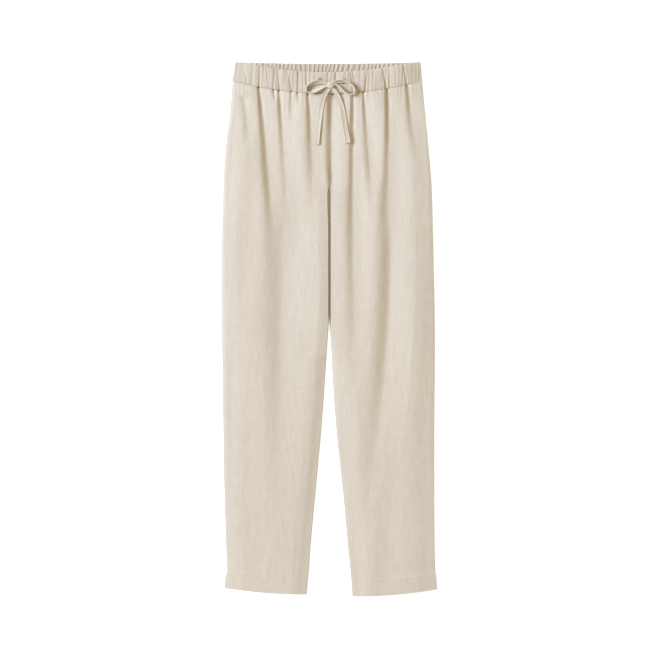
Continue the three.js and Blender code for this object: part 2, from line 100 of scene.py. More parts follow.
SEAM_DIP = 0.05            # share of the loft lost where the front legs meet the band
SEAM_DIP_REACH = 9         # how fast that dies away down the leg
SEAM_SHARE = 0.62          # share of a fold's depth that it starts with at the waist seam
SEAM_SWELL = 2.4           # how much the gathers lift a leg along the waist seam
SEAM_REACH = 16            # how fast the swell and the puckers die away down the leg
SEAM_DITCH = 0.8           # depth of the ditch where leg and band are sewn together
PIT_DEPTH = 0.9            # extra depth of a crease that starts at the seam
PIT_REACH = 5              # how fast that dies away down the leg
DOT_DEPTH = 4.5            # depth of the dark point at a crease's head
DOT_PLACE = 1.2            # its distance below the seam
CREASE_ROLL = 0.25         # share of a crease's depth that the cloth loses in a slow roll before it
CREASE_STEP = 0.25         # share of a crease's depth that its +X side climbs at once
STEP_FADES = (0.05, 0.35)  # shares of a fold's length over which that step goes
CREASE_SOFTENS = (0.08, 0.5)       # and over which the sharp crease becomes a soft valley
FOLD_HEAD = 14             # how far above its start such a fold fades out

Level = namedtuple("Level", "y right_outer right_inner left_inner left_outer")
OUTLINE = [
    Level(486, -171, 0, 0, 166),
    Level(450, -176, 0, 0, 169.5),
    Level(398, -180, 0, 0, 174.5),
    Level(326, -189, 0, 0, 181.5),
    Level(253, -193, 0, 0, 187),
    Level(71, -196.5, 0, 0, 191.5),
    Level(29, -196.2, 0, 0, 192.3),
    Level(-20, -195.5, -2.5, 3.2, 192.6),
    Level(-75, -194.5, -6, 5.3, 192.5),
    Level(-184, -193, -14, 12.9, 191.5),
    Level(-293, -191, -24, 24.5, 191.5),
    Level(-402, -187.5, -34, 34.5, 192.5),
    Level(-440, -186, -36.5, 38.5, 193.5),
    Level(-453, -189.5, -38, 39.5, 195.5),
    Level(-486, -191.5, -40.5, 42, 197.2),
]

Hem = namedtuple("Hem", "outer middle inner")
HEMS = {"right": Hem(-471, -479.5, -482.5), "left": Hem(-473, -483, -486)}

# A fold is a valley from y = start to y = end through x_top, x_mid and x_end. The cloth drops into it
# over near mm on its -X side and climbs out over far mm on its +X side. At its end near is spread times
# wider and so is far, but in a fold that starts at the seam far grows only half as much. depth is its
# share of the loft. It is fully open between opens and holds, shares of its length, and opens is 0 in
# a fold that starts at the seam.
Fold = namedtuple("Fold", "start end x_top x_mid x_end near far spread depth opens holds")
FOLDS = {
    "right": [
        Fold(425, 320, -156, -148, -150, 6, 16, 1.3, 0.45, 0.05, 0.5),
        Fold(448, 110, -128, -109, -93, 4.2, 36, 3.5, 0.9, 0, 0.5),
        Fold(442, 410, -101, -99, -97, 3.2, 9, 1.2, 0.55, 0, 0.3),
        Fold(442, 140, -91, -79.5, -68, 4.2, 34, 2.8, 0.82, 0, 0.5),
        Fold(300, -390, -76, -86, -82, 27, 80, 0.9, 0.92, 0.22, 0.3),
        Fold(438, 350, -68, -68, -66, 3.6, 14, 1.4, 0.42, 0, 0.3),
        Fold(436, 390, -56.5, -56, -55, 3.6, 14, 1.3, 0.44, 0, 0.2),
        Fold(434, 170, -38, -30, -26, 4.4, 36, 2.8, 0.62, 0, 0.35),
    ],
    "left": [
        Fold(434, -150, 44, 45, 54, 4.8, 34, 2.8, 0.9, 0, 0.15),
        Fold(436, 200, 62.5, 73, 84, 4.4, 32, 2.6, 0.85, 0, 0.5),
        Fold(440, 150, 105.5, 109, 104, 4.6, 40, 2.8, 0.92, 0, 0.6),
        Fold(330, -380, 108, 107, 62, 17, 46, 0.95, 0.84, 0.3, 0.5),
        Fold(448, 275, 142, 153, 168, 4.4, 28, 2.8, 0.72, 0, 0.3),
        Fold(410, -230, 41, 44, 50, 13, 26, 1.3, 0.22, 0.08, 0.3),
    ],
}

# A gather of the front band leans from x at the top edge by slant down to the waist seam. top and
# foot are its depth at those two ends.
Gather = namedtuple("Gather", "x slant width top foot")
GATHERS = [
    Gather(-160, 12, 2.6, 0.5, 0.6), Gather(-140, -1, 2.4, 0.35, 0.95), Gather(-126, -1, 2.9, 0.55, 1.1),
    Gather(-119, 1, 2, 0.35, 0), Gather(-113.5, 3.5, 2.4, 0.3, 0.2), Gather(-97.5, -3.5, 2.8, 0.65, 0.45),
    Gather(-93, 3, 2.6, 0.6, 1), Gather(-79, 1, 2.2, 0.6, 0), Gather(-75.5, 8, 2.5, 0.4, 0.85),
    Gather(-64, -2, 2, 0.3, 0.1), Gather(-55.5, -1, 2.8, 0.95, 0.85), Gather(-48, 1, 2, 0.3, 0.25),
    Gather(-42, 2.5, 2.6, 0.65, 1), Gather(-34.6, -2, 2.2, 0.35, 0), Gather(-27, 2, 2, 0.3, 0),
    Gather(-2, 3, 2.2, 0.4, 0), Gather(12.5, -2.7, 2.5, 0.85, 0.5), Gather(31, 3, 2.2, 0.3, 0.1),
    Gather(39.5, 4.5, 2.2, 0.55, 0.6), Gather(44, 5, 2.7, 0.6, 1), Gather(56.5, -2, 2.2, 0.35, 0.25),
    Gather(71, -6, 2.8, 0.4, 1), Gather(81, -2, 2, 0.3, 0), Gather(97.5, 6.5, 2.8, 0.75, 1),
    Gather(103.5, 2, 2, 0.4, 0), Gather(108.5, 2.7, 2.5, 0.85, 0.65), Gather(120, 2, 2, 0.35, 0.1),
    Gather(135.5, 5.5, 2.8, 0.95, 0.85), Gather(152, 3, 2.3, 0.6, 0), Gather(158, 3, 2, 0.4, 0.1),
]

EYELETS = {"right": (-16.5, 450.5), "left": (26.5, 449.5)}
EYELET_FLOOR = 9.2         # height at which the rims lie on the band
EYELET_HOLE = 2.72         # radius of the dark disc in a rim, painted shadow inside the hole
# radius and height round the rim's section
EYELET_PROFILE = [(4.6, 0.0), (4.6, 0.35), (4.3, 0.75), (3.8, 0.95),
                  (3.2, 0.85), (2.75, 0.45), (2.7, -0.6), (3.4, -0.6)]

KNOT = (3, 443, 11.6)
KNOT_HALF = (6, 6.6, 2.5)
KNOT_SQUARENESS = 0.62     # 1 is an ellipsoid and 0 a box
# The tape's folds over the knot: place along the slant, depth and half width, in shares of its size.
KNOT_FOLDS = [(0.42, 0.16, 0.12), (-0.5, 0.16, 0.12), (0, 0.05, 0.1)]

TAPE_THICKNESS = 1.3
TAPE_CLEARANCE = 0.3       # gap left between the hanging tails and the cloth
TAPE_STEPS = 170           # rings along each end of the drawstring
# Half the tape's section: share of the half width, and height as a share of the half thickness.
TAPE_PROFILE = [(1.0, 0.0), (0.97, 0.6), (0.9, 0.95), (0.78, 1.0), (0.66, 0.62), (0.35, 0.48), (0.0, 0.52)]
BAND_CREST = 8.9           # height of the band's crest under the bow
BOW_CLOSENESS = 0.62       # how high the bow stands over that crest, as a share of the solids' height
# The drawstring's middle line. lean turns the tape about that line, in degrees: 0 lies flat.
Point = namedtuple("Point", "x y z lean width")
LEADS = {
    "right": [Point(-17, 450.6, 9.6, 0, 3.6), Point(-16.2, 450.4, 11, 0, 3.6),
              Point(-13.6, 449.7, 12, 0, 4), Point(-8.5, 448, 11.3, 0, 4), Point(-2.4, 446, 10.8, 0, 4)],
    "left": [Point(27, 449.6, 9.6, 0, 3.6), Point(26.2, 449.4, 11, 0, 3.6),
             Point(23.4, 448.6, 12, 0, 4), Point(16, 447.4, 11.3, 0, 4), Point(8.4, 446.2, 10.8, 0, 4)],
}
LOOPS = {
    "right": [Point(-2.6, 446.6, 14.3, 20, 5.5), Point(-11, 448.2, 15.2, 30, 7.5),
              Point(-20.5, 448, 15.2, 38, 8.6), Point(-31, 445, 14.8, 50, 8.6),
              Point(-39, 440.4, 14.2, 74, 8), Point(-41.6, 435.2, 14, 90, 8),
              Point(-38.4, 430.4, 13.8, 68, 8), Point(-30.2, 430.2, 13.6, 38, 8.4),
              Point(-20.2, 434.4, 13.6, 26, 8.4), Point(-11.2, 439.2, 13.4, 18, 7),
              Point(-2.8, 441.2, 12.8, 10, 5)],
    "left": [Point(8.7, 447.2, 14.3, -30, 5.5), Point(16.5, 449, 15, -46, 7.2),
             Point(26, 449.4, 15, -52, 7.6), Point(35, 446.4, 14.4, -62, 7.2),
             Point(43.2, 440.4, 13.6, -76, 6.6), Point(46.6, 433.6, 13.2, -84, 6.2),
             Point(44.8, 427.4, 13.2, -90, 6), Point(38.6, 424.8, 13.4, -94, 6),
             Point(31, 427.8, 13.8, -95, 6.2), Point(23, 435, 14, -97, 6.4),
             Point(15.6, 441.4, 13.8, -108, 6), Point(8.8, 442.8, 12.8, -138, 5)],
}
TAILS = {
    "right": [Point(0.4, 435.8, 12, 8, 6), Point(-4.6, 430, 10.9, 8, 7.5),
              Point(-9.2, 421, 9.3, 6, 8.5), Point(-12.4, 410.5, 8.4, 4, 9),
              Point(-14.8, 398, 8.2, 0, 9), Point(-16.8, 384, 8.2, -4, 9),
              Point(-19, 367, 8.1, -6, 9), Point(-20.8, 350, 8, -4, 9), Point(-22, 335, 8, 0, 9)],
    "left": [Point(7, 436, 12, -8, 6), Point(12, 429.6, 10.9, -8, 7.5),
             Point(16.9, 420.6, 9.3, -4, 8.5), Point(21.3, 409.6, 8.4, 0, 9),
             Point(24.8, 396, 8.2, 5, 9.4), Point(27.2, 380, 8.1, 6, 9.6),
             Point(29.9, 364, 8.1, 4, 9.6), Point(32.4, 350, 8, 0, 9.8), Point(34.6, 338, 8, 0, 10)],
}


# ---- helpers ----
def mix(a, b, t):
    return a + (b - a) * t


def smoothstep(value, low, high):
    t = np.clip((value - low) / (high - low), 0, 1)
    return t * t * (3 - 2 * t)


def bell(distance, width):
    return np.exp(-((distance / width) ** 2))


def climb(distance, reach):
    """Falls from 1 to 0 over reach, almost straight, with eased ends."""
    left = np.clip(1 - distance / reach, 0, 1)
    return mix(left, left * left * (3 - 2 * left), 0.4)


def rounded(distance, radius):
    """A quarter round: 0 at an edge and 1 from radius inward."""
    return np.sqrt(1 - (1 - np.clip(distance / radius, 0, 1)) ** 2)


def with_heights(x, y, z):
    return np.stack([x, y, z], axis=-1)


def outline_at(column, y):
    """The named column of OUTLINE at heights y, eased between rows without passing their values."""
    y = np.asarray(y, float)
    heights = np.array([level.y for level in OUTLINE], float)
    values = np.array([getattr(level, column) for level in OUTLINE], float)
    slopes = np.diff(values) / np.diff(heights)
    before = np.concatenate([slopes[:1], slopes])
    after = np.concatenate([slopes, slopes[-1:]])
    same_way = before * after > 0
    total = np.where(same_way, before + after, 1)
    eased = np.where(same_way, 2 * before * after / total, 0)
    index = np.clip(np.searchsorted(-heights, -y, side="right") - 1, 0, len(heights) - 2)
    span = heights[index + 1] - heights[index]
    t = (y - heights[index]) / span
    return ((2 * t ** 3 - 3 * t ** 2 + 1) * values[index] + (t ** 3 - 2 * t ** 2 + t) * span * eased[index]
            + (3 * t ** 2 - 2 * t ** 3) * values[index + 1] + (t ** 3 - t ** 2) * span * eased[index + 1])


def across_waist(x):
    return np.minimum(1, np.abs(x - WAIST_CENTRE) / WAIST_HALF)


def from_waist_ends(x):
    return WAIST_HALF * (1 - across_waist(x))


def from_side_seams(x, y):
    return np.minimum(np.abs(x - outline_at("right_outer", y)), np.abs(x - outline_at("left_outer", y)))


def front_top_edge(x):
    return WAIST_TOP - FRONT_DIP * (1 - across_waist(x) ** 2) ** 1.3


def back_top_edge(x):
    return WAIST_TOP - BACK_DIP * (1 - across_waist(x) ** 2)


def front_seam(x):
    return FRONT_SEAM - FRONT_SEAM_DIP * (1 - across_waist(x) ** 2)


def back_seam(x):
    return BACK_SEAM - BACK_SEAM_DIP * (1 - across_waist(x) ** 2)


def hem_line(side, inward):
    outer, middle, inner = HEMS[side]
    bow = middle - (outer + inner) / 2
    return mix(outer, inner, inward) + 4 * bow * inward * (1 - inward)


def ripple(x, y, seed, across, along, count=7):
    """Soft uneven waves, mostly between -1 and 1, about across and along mm between crests."""
    rng = np.random.default_rng(seed)
    total = np.zeros(np.broadcast(x, y).shape)
    for _ in range(count):
        kx = 2 * math.pi / across * rng.uniform(0.5, 1.5)
        ky = 2 * math.pi / along * rng.uniform(-1, 1)
        total += np.sin(kx * x + ky * y + rng.uniform(0, 2 * math.pi))
    return total / count ** 0.5 / 1.6


# ---- meshes ----
def mesh_piece(name, vertices, faces, material, sharp=50):
    """A smooth-shaded object from vertices in mm, with its edges above sharp degrees kept sharp."""
    mesh = bpy.data.meshes.new(name)
    mesh.from_pydata((np.asarray(vertices) / 1000).tolist(), [], faces)
    mesh.polygons.foreach_set("use_smooth", [True] * len(mesh.polygons))
    mesh.set_sharp_from_angle(angle=math.radians(sharp))
    mesh.materials.append(material)
    mesh.update()
    piece = bpy.data.objects.new(name, mesh)
    bpy.context.scene.collection.objects.link(piece)
    return piece


def shell_piece(name, upper, lower, material):
    """A closed shell of cloth between two grids of points, shaped rows by columns by 3."""
    rows, columns = upper.shape[0] - 1, upper.shape[1] - 1
    count = (rows + 1) * (columns + 1)
    index = np.arange(count).reshape(rows + 1, columns + 1)
    a, b = index[:-1, :-1], index[:-1, 1:]
    c, d = index[1:, 1:], index[1:, :-1]
    top = np.stack([a, d, c, b], -1).reshape(-1, 4)
    under = np.stack([a, b, c, d], -1).reshape(-1, 4) + count
    rim = np.concatenate([index[0, :], index[1:, -1], index[-1, -2::-1], index[-2:0:-1, 0]])
    following = np.roll(rim, -1)
    side = np.stack([rim, following, following + count, rim + count], -1)
    faces = np.concatenate([top, under, side]).tolist()
    vertices = np.concatenate([upper.reshape(-1, 3), lower.reshape(-1, 3)])
    return mesh_piece(name, vertices, faces, material)


def tube_piece(name, rings, material, closed=False):
    """A closed tube through rings of points, shaped rings by sides by 3, with capped ends."""
    count, sides = rings.shape[:2]
    index = np.arange(count * sides).reshape(count, sides)
    turned = np.roll(index, -1, axis=1)
    nxt = np.roll(index, -1, axis=0) if closed else index[1:]
    nxt_turned = np.roll(turned, -1, axis=0) if closed else turned[1:]
    here, here_turned = (index, turned) if closed else (index[:-1], turned[:-1])
    faces = np.stack([here, nxt, nxt_turned, here_turned], -1).reshape(-1, 4).tolist()
    if not closed:
        faces += [index[0].tolist(), index[-1][::-1].tolist()]
    return mesh_piece(name, rings.reshape(-1, 3), faces, material)


def dress(piece, slot, *solids):
    """Fixes a piece to the body and puts it in place of its solids. Its slot is not used."""
    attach(piece, "root")
    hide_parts(*solids)
    return piece


# ---- materials ----
class Nodes:
    """Short calls that add and join shader nodes."""

    def __init__(self, name):
        self.material = bpy.data.materials.new(name)
        self.material.use_nodes = True
        self.tree = self.material.node_tree
        self.shader = self.tree.nodes["Principled BSDF"]
        self.place = self.add("ShaderNodeTexCoord").outputs["Object"]

    def add(self, kind, **values):
        node = self.tree.nodes.new(kind)
        for key, value in values.items():
            setattr(node, key, value)
        return node

    def join(self, source, target):
        self.tree.links.new(source, target)

    def look(self, values):
        for name, value in values.items():
            self.shader.inputs[name].default_value = value

    def stretched(self, source, scale, turn=0.0):
        node = self.add("ShaderNodeMapping")
        node.inputs["Scale"].default_value = scale
        node.inputs["Rotation"].default_value = (0, 0, turn)
        self.join(source, node.inputs["Vector"])
        return node.outputs["Vector"]

    def noise(self, scale, detail=2.0, roughness=0.5, turn=0.0):
        node = self.add("ShaderNodeTexNoise")
        node.inputs["Scale"].default_value = 1.0
        node.inputs["Detail"].default_value = detail
        node.inputs["Roughness"].default_value = roughness
        self.join(self.stretched(self.place, scale, turn), node.inputs["Vector"])
        return node.outputs["Fac"]

    def math(self, operation, a, b):
        node = self.add("ShaderNodeMath", operation=operation)
        for socket, value in zip(node.inputs, (a, b)):
            if isinstance(value, (int, float)):
                socket.default_value = value
            else:
                self.join(value, socket)
        return node.outputs[0]

    def spread(self, source, low, high):
        """The middle of a noise's range, from 0.3 to 0.7, carried to low and high."""
        node = self.add("ShaderNodeMapRange")
        node.inputs["From Min"].default_value = 0.3
        node.inputs["From Max"].default_value = 0.7
        node.inputs["To Min"].default_value = low
        node.inputs["To Max"].default_value = high
        self.join(source, node.inputs["Value"])
        return node.outputs["Result"]

    def bump(self, height, strength, distance, before=None):
        node = self.add("ShaderNodeBump")
        node.inputs["Strength"].default_value = strength
        node.inputs["Distance"].default_value = distance
        self.join(height, node.inputs["Height"])
        if before is not None:
            self.join(before, node.inputs["Normal"])
        return node.outputs["Normal"]


def woven(name, colour, thread=0.00075, slub=1.0):
    """Plain-woven linen: warp and weft threads, uneven slubs along both and soft mottling."""
    nodes = Nodes(name)
    per_metre = 1 / thread
    threads = []
    for axis in ("X", "Y"):
        wave = nodes.add("ShaderNodeTexWave", bands_direction=axis)
        wave.inputs["Scale"].default_value = per_metre * 2 * math.pi / 20
        wave.inputs["Distortion"].default_value = 1.2
        wave.inputs["Detail"].default_value = 1.0
        wave.inputs["Detail Scale"].default_value = 0.6
        nodes.join(nodes.place, wave.inputs["Vector"])
        threads.append(wave.outputs["Fac"])
    weave = nodes.math("MULTIPLY", *threads)
    warp_slubs = nodes.noise((per_metre * 0.5, 36, 40), detail=3.0, roughness=0.65)
    weft_slubs = nodes.noise((42, per_metre * 0.75, 40), detail=3.0, roughness=0.6)
    fine = nodes.noise((per_metre * 0.5, per_metre * 0.5, 400))
    mottling = nodes.noise((14, 7, 14), detail=3.0)
    warp_shade, weft_shade = 0.06 * slub, 0.04 * slub
    shade = nodes.math("MULTIPLY", nodes.spread(warp_slubs, 1 - warp_shade, 1 + warp_shade),
                       nodes.spread(weft_slubs, 1 - weft_shade, 1 + weft_shade))
    for source, low, high in ((fine, 0.965, 1.035), (mottling, 0.985, 1.015), (weave, 0.97, 1.02)):
        shade = nodes.math("MULTIPLY", shade, nodes.spread(source, low, high))
    tint = nodes.add("ShaderNodeMix", data_type="RGBA", blend_type="MULTIPLY")
    tint.inputs["Factor"].default_value = 1.0
    tint.inputs["A"].default_value = (*colour, 1)
    grey = nodes.add("ShaderNodeCombineColor")
    for channel in ("Red", "Green", "Blue"):
        nodes.join(shade, grey.inputs[channel])
    nodes.join(grey.outputs["Color"], tint.inputs["B"])
    nodes.join(tint.outputs["Result"], nodes.shader.inputs["Base Color"])
    nodes.look({"Roughness": 0.93, "Specular IOR Level": 0.2, "Sheen Weight": 0.12, "Sheen Roughness": 0.6})
    slubs = nodes.math("ADD", warp_slubs, weft_slubs)
    normal = nodes.bump(slubs, strength=0.5, distance=0.00035)
    normal = nodes.bump(weave, strength=0.45, distance=0.00025, before=normal)
    nodes.join(normal, nodes.shader.inputs["Normal"])
    return nodes.material


def metal(name, colour):
    """Dark metal, slightly worn."""
    nodes = Nodes(name)
    wear = nodes.noise((900, 900, 900), detail=3.0)
    nodes.join(nodes.spread(wear, 0.3, 0.5), nodes.shader.inputs["Roughness"])
    nodes.look({"Base Color": (*colour, 1), "Metallic": 0.85})
    nodes.join(nodes.bump(wear, strength=0.2, distance=0.0001), nodes.shader.inputs["Normal"])
    return nodes.material


def plain(name, colour, roughness=0.9):
    nodes = Nodes(name)
    nodes.look({"Base Color": (*colour, 1), "Roughness": roughness})
    return nodes.material


def glowing_paper(name, colour, glow, strength):
    """White paper that gives off some light of its own."""
    nodes = Nodes(name)
    nodes.look({"Base Color": (*colour, 1), "Roughness": 1.0,
                "Emission Color": (*glow, 1), "Emission Strength": strength})
    return nodes.material


linen = woven("linen", (0.665, 0.602, 0.517))
tape_linen = woven("drawstring_linen", (0.685, 0.615, 0.512), thread=0.0006, slub=0.7)
thread_cotton = woven("sewing_thread", (0.64, 0.57, 0.48), thread=0.0004, slub=0.3)
# The bands' linen is the legs' linen painted darker. This is painted shade, standing in for the shade of
# the bands' many small gathers.
band_linen_painted_shade = woven("band_linen_painted_shade", (0.615, 0.549, 0.463))
# Dark brown thread for the waist seam. It is real stitching, but it is darker than the cloth's own thread
# so that it also paints the shade in the seam's ditch.
shade_brown_thread = woven("seam_shade_thread", (0.5, 0.35, 0.18), thread=0.0004, slub=0.3)
eyelet_metal = metal("eyelet_metal", (0.2, 0.17, 0.18))
painted_hole_shadow = plain("eyelet_shadow", (0.03, 0.025, 0.02))


# ---- camera ----
def make_camera():
    """Looks straight down at the whole garment and sees 1.2 m of the surface from side to side."""
    lens, sensor, seen = 100, 36, 1.2012
    centre = (0.0018, -0.0018)
    data = bpy.data.cameras.new("camera")
    data.lens = lens
    data.sensor_width = sensor
    camera = bpy.data.objects.new("camera", data)
    camera.location = (*centre, seen / 2 / (sensor / 2 / lens))
    bpy.context.scene.collection.objects.link(camera)
    bpy.context.scene.camera = camera


# ---- drawstring ----
def eased_route(route, steps):
    """Points, leans and widths along a smooth line through a route's rows."""
    rows = np.array(route, float)
    padded = np.vstack([2 * rows[0] - rows[1], rows, 2 * rows[-1] - rows[-2]])
    at = np.linspace(0, len(rows) - 1, steps + 1)
    index = np.minimum(at.astype(int), len(rows) - 2)
    t = (at - index)[:, None]
    p0, p1, p2, p3 = (padded[index + shift] for shift in range(4))
    return 0.5 * (2 * p1 + (p2 - p0) * t + (2 * p0 - 5 * p1 + 4 * p2 - p3) * t ** 2
                  + (3 * p1 - p0 - 3 * p2 + p3) * t ** 3)


def unit(vectors):
    return vectors / np.linalg.norm(vectors, axis=-1, keepdims=True)


def resting(points):
    """The tape's middle line, lifted where needed so that it lies on the cloth."""
    points = points.copy()
    points[:, 2] = BAND_CREST + BOW_CLOSENESS * (points[:, 2] - BAND_CREST)
    x, y = points[:, 0], points[:, 1]
    cloth = np.where(x < 0, front_top("right", x, y), front_top("left", x, y))
    below_band = y < FRONT_SEAM - FRONT_SEAM_DIP - 4
    needed = np.where(below_band, cloth + TAPE_THICKNESS / 2 + TAPE_CLEARANCE - points[:, 2], 0)
    lift = np.maximum(needed, 0)
    for _ in range(12):
        lift[1:-1] = (lift[:-2] + lift[1:-1] + lift[2:]) / 3
        lift = np.maximum(lift, needed * 0.8)
    points[:, 2] += lift
    return points


def tape_piece(name, route, steps):
    """A flat folded tape with a ridge along each stitched edge. Gives the piece and its middle line."""
    line = eased_route(route, steps)
    points, leans, widths = resting(line[:, :3]), np.radians(line[:, 3:4]), line[:, 4:5]
    along = unit(np.gradient(points, axis=0))
    aside = unit(np.cross(along, [0, 0, 1]))
    lift = np.cross(aside, along)
    across = np.cos(leans) * aside + np.sin(leans) * lift
    outward = np.cross(across, along)
    half = TAPE_THICKNESS / 2 * (1 + 0.7 * np.abs(np.sin(leans)))
    upper = TAPE_PROFILE + [(-w, h) for w, h in TAPE_PROFILE[-2::-1]]
    section = upper + [(-w, -h) for w, h in upper[1:-1]]
    rings = np.stack([points + across * widths / 2 * w + outward * half * h for w, h in section], axis=1)
    return tube_piece(name, rings, tape_linen), points


def through_knot(start, end, lean):
    """The point where the tape passes through the knot, a little under its middle."""
    x, _, z = KNOT
    return [Point(x, mix(start.y, end.y, 0.5), z - 0.6, lean, 4.5)]


def turned(route, degrees):
    return [row._replace(lean=row.lean + degrees) for row in route]


def make_drawstring():
    """Each end leaves its eyelet, makes the loop on the other side of the knot and hangs as a tail."""
    cords = []
    for side, other, turn in (("right", "left", -180), ("left", "right", 0)):
        lead, loop, tail = LEADS[side], LOOPS[other], turned(TAILS[side], turn)
        route = (lead + through_knot(lead[-1], loop[0], loop[0].lean / 2) + loop
                 + through_knot(loop[-1], tail[0], (loop[-1].lean + tail[0].lean) / 2) + tail)
        piece, points = tape_piece(f"drawstring_{side}_end", route, TAPE_STEPS)
        dress(piece, "drawstring",
              f"drawstring_{side}_lead", f"drawstring_{other}_loop", f"drawstring_{side}_tail")
        length = float(np.linalg.norm(np.diff(points, axis=0), axis=1).sum()) / 1000
        cords.append((piece, points, length))
    return cords


def make_knot():
    """The tied middle: a rounded lump with the tape's folds wrapped slantwise over it."""
    rings, sides = 26, 40
    pole = 0.02
    theta = np.linspace(pole, math.pi - pole, rings)[:, None]
    phi = np.linspace(0, 2 * math.pi, sides, endpoint=False)[None, :]
    ball = np.stack([np.sin(theta) * np.cos(phi), np.sin(theta) * np.sin(phi),
                     np.cos(theta) * np.ones_like(phi)], -1)
    ball = np.sign(ball) * np.abs(ball) ** KNOT_SQUARENESS
    slant = ball[..., 0] * 0.85 + ball[..., 1] * 0.4
    folds = 1 - sum(depth * bell(slant - place, width) for place, depth, width in KNOT_FOLDS)
    points = ball * np.array(KNOT_HALF) * folds[..., None] + np.array(KNOT)
    return dress(tube_piece("drawstring_knot_cloth", points, tape_linen), "drawstring", "drawstring_knot")


# ---- the lie of the front cloth ----
def sharp_crease(gap, near, far, step=CREASE_STEP):
    """1 in a crease. Its -X side is a slow roll and a steep drop, its +X side a step and a long climb."""
    drop = mix(climb(-gap, near), climb(-gap, 3.5 * near), CREASE_ROLL)
    return np.where(gap < 0, drop, mix(climb(gap, far), climb(gap, near), step))


def softening_crease(gap, t, near, far):
    """Across a fold that starts at the seam: a sharp crease there, and a soft valley further down."""
    step = CREASE_STEP * (1 - smoothstep(t, *STEP_FADES))
    sharp = sharp_crease(gap, near, far, step)
    soft = np.where(gap < 0, bell(gap, 0.95 * near), bell(gap, 0.6 * far))
    return mix(sharp, soft, smoothstep(t, *CREASE_SOFTENS))


def fold_at(fold, x, y):
    """How deep a fold is, from 0 outside it to its depth in its bed. t runs from its start to its end."""
    t = np.clip((fold.start - y) / (fold.start - fold.end), 0, 1)
    bend = 2 * fold.x_mid - (fold.x_top + fold.x_end) / 2
    gap = x - ((1 - t) ** 2 * fold.x_top + 2 * t * (1 - t) * bend + t ** 2 * fold.x_end)
    if fold.opens > 0:
        rise = smoothstep(t, 0, fold.opens)
        wider = mix(1, fold.spread, t)
        across = np.where(gap < 0, bell(gap, fold.near * wider), climb(gap, fold.far * wider))
    else:
        head = 1 - smoothstep(y - fold.start, 0, FOLD_HEAD)
        rise = head * mix(SEAM_SHARE, 1, smoothstep(fold.start - y, -10, 40))
        wider = mix(1, fold.spread, t ** 0.7)
        across = softening_crease(gap, t, fold.near * wider, fold.far * mix(wider, 1, 0.5))
    return fold.depth * rise * (1 - smoothstep(t, fold.holds, 1)) * across


def loft_at(y):
    """How far the front would stand off the back with no folds, before FULLNESS."""
    thigh = mix(THIGH_LOFT, WAIST_LOFT, smoothstep(y, 200, FRONT_SEAM))
    return mix(HEM_LOFT, thigh, smoothstep(y, -470, 100))


def edges_at(side, x, y):
    """Distances from a leg's outer and inner edges, and how far the legs have parted, from 0 to 1."""
    outward = np.abs(x - outline_at(f"{side}_outer", y))
    inward = np.abs(x - outline_at(f"{side}_inner", y))
    return outward, inward, 1 - smoothstep(y, PARTED - 90, PARTED + 10)


def thinning(outward, inward, apart):
    """From 1 at a free edge, where the layers are pressed thin, to 0 well inside it."""
    return climb(np.minimum(outward, inward + FAR * (1 - apart)), EDGE_THINNING)


def back_top(side, x, y):
    """Height of the upper face of a back leg."""
    return mix(WALL - 0.05, CLOTH, thinning(*edges_at(side, x, y)))


def centre_crease(x, y):
    """The crease between the legs above the slot, as a share of the loft. Its roll is widest midway up."""
    rolling = smoothstep(y, SLOT_TOP, 320) * (1 - 0.6 * smoothstep(y, 345, 410))
    roll = mix(CENTRE_ROLL_LOW, CENTRE_ROLL, rolling)
    gap = x - CENTRE_CREASE
    return CENTRE_DEPTH * np.where(gap < 0, bell(gap, roll), climb(gap, CENTRE_CLIMB))


def loft_share(side, x, y, outward, inward, apart):
    """The share of its loft that a front leg keeps, after its edges, the slot, the centre and the folds."""
    slope = SIDE_SLOPES[side]
    share = mix(1, slope.share, climb(outward, slope.reach)) * (1 - slope.roll * bell(outward, EDGE_ROLL))
    if side == "right":
        beside_slot = CENTRE_SLOPE * (1 - apart) * climb(inward, 20)
        inner_edge = 0.42 * apart * climb(inward, 19)
    else:
        beside_slot = LEFT_CENTRE_DEPTH * climb(inward, CENTRE_CLIMB)
        inner_edge = 0.2 * apart * bell(inward, EDGE_ROLL)
    above_slot = smoothstep(y, SLOT_TOP - 12, SLOT_TOP + 24)
    share = share * (1 - mix(beside_slot, centre_crease(x, y), above_slot)) * (1 - inner_edge)
    for fold in FOLDS[side]:
        share = share * (1 - fold_at(fold, x, y))
    below_seam = np.maximum(front_seam(x) - y, 0)
    return share * (1 - SEAM_DIP * np.exp(-below_seam / SEAM_DIP_REACH))


def seam_relief(side, x, below_seam):
    """What the sewing does just below the waist seam: a swell, a ditch, and a pit at each crease's head."""
    swell = SEAM_SWELL * np.exp(-np.maximum(below_seam, 0) / SEAM_REACH)
    swell = swell * smoothstep(np.abs(x - KNOT[0]), 35, 65)
    ditch = SEAM_DITCH * np.exp(-np.maximum(below_seam, 0))
    pits, dots = 0, 0
    for fold in FOLDS[side]:
        if fold.opens == 0:
            gap = x - fold.x_top
            pits = pits + fold.depth * np.where(gap < 0, bell(gap, 3), climb(gap, 12))
            dots = dots + fold.depth * bell(gap, 1.8)
    pit = PIT_DEPTH * pits * np.exp(-below_seam / PIT_REACH)
    return swell - pit - ditch - DOT_DEPTH * dots * bell(below_seam - DOT_PLACE, 2 * DOT_PLACE)


def crumples(x, y, below_seam, above_hem):
    """The small unevenness of a front leg, in mm."""
    puckers = 0.5 * ripple(x, y, seed=11, across=9, along=120) * np.exp(-below_seam / SEAM_REACH)
    swells = 0.35 * ripple(x, y, seed=12, across=60, along=420) * smoothstep(below_seam, 0, 80)
    crumple = 0.08 * ripple(x, y, seed=13, across=22, along=60)
    hem_pull = 0.04 * ripple(x, y, seed=14, across=8, along=60) * bell(above_hem - HEM_DEPTH, 9)
    return puckers + swells + crumple + hem_pull


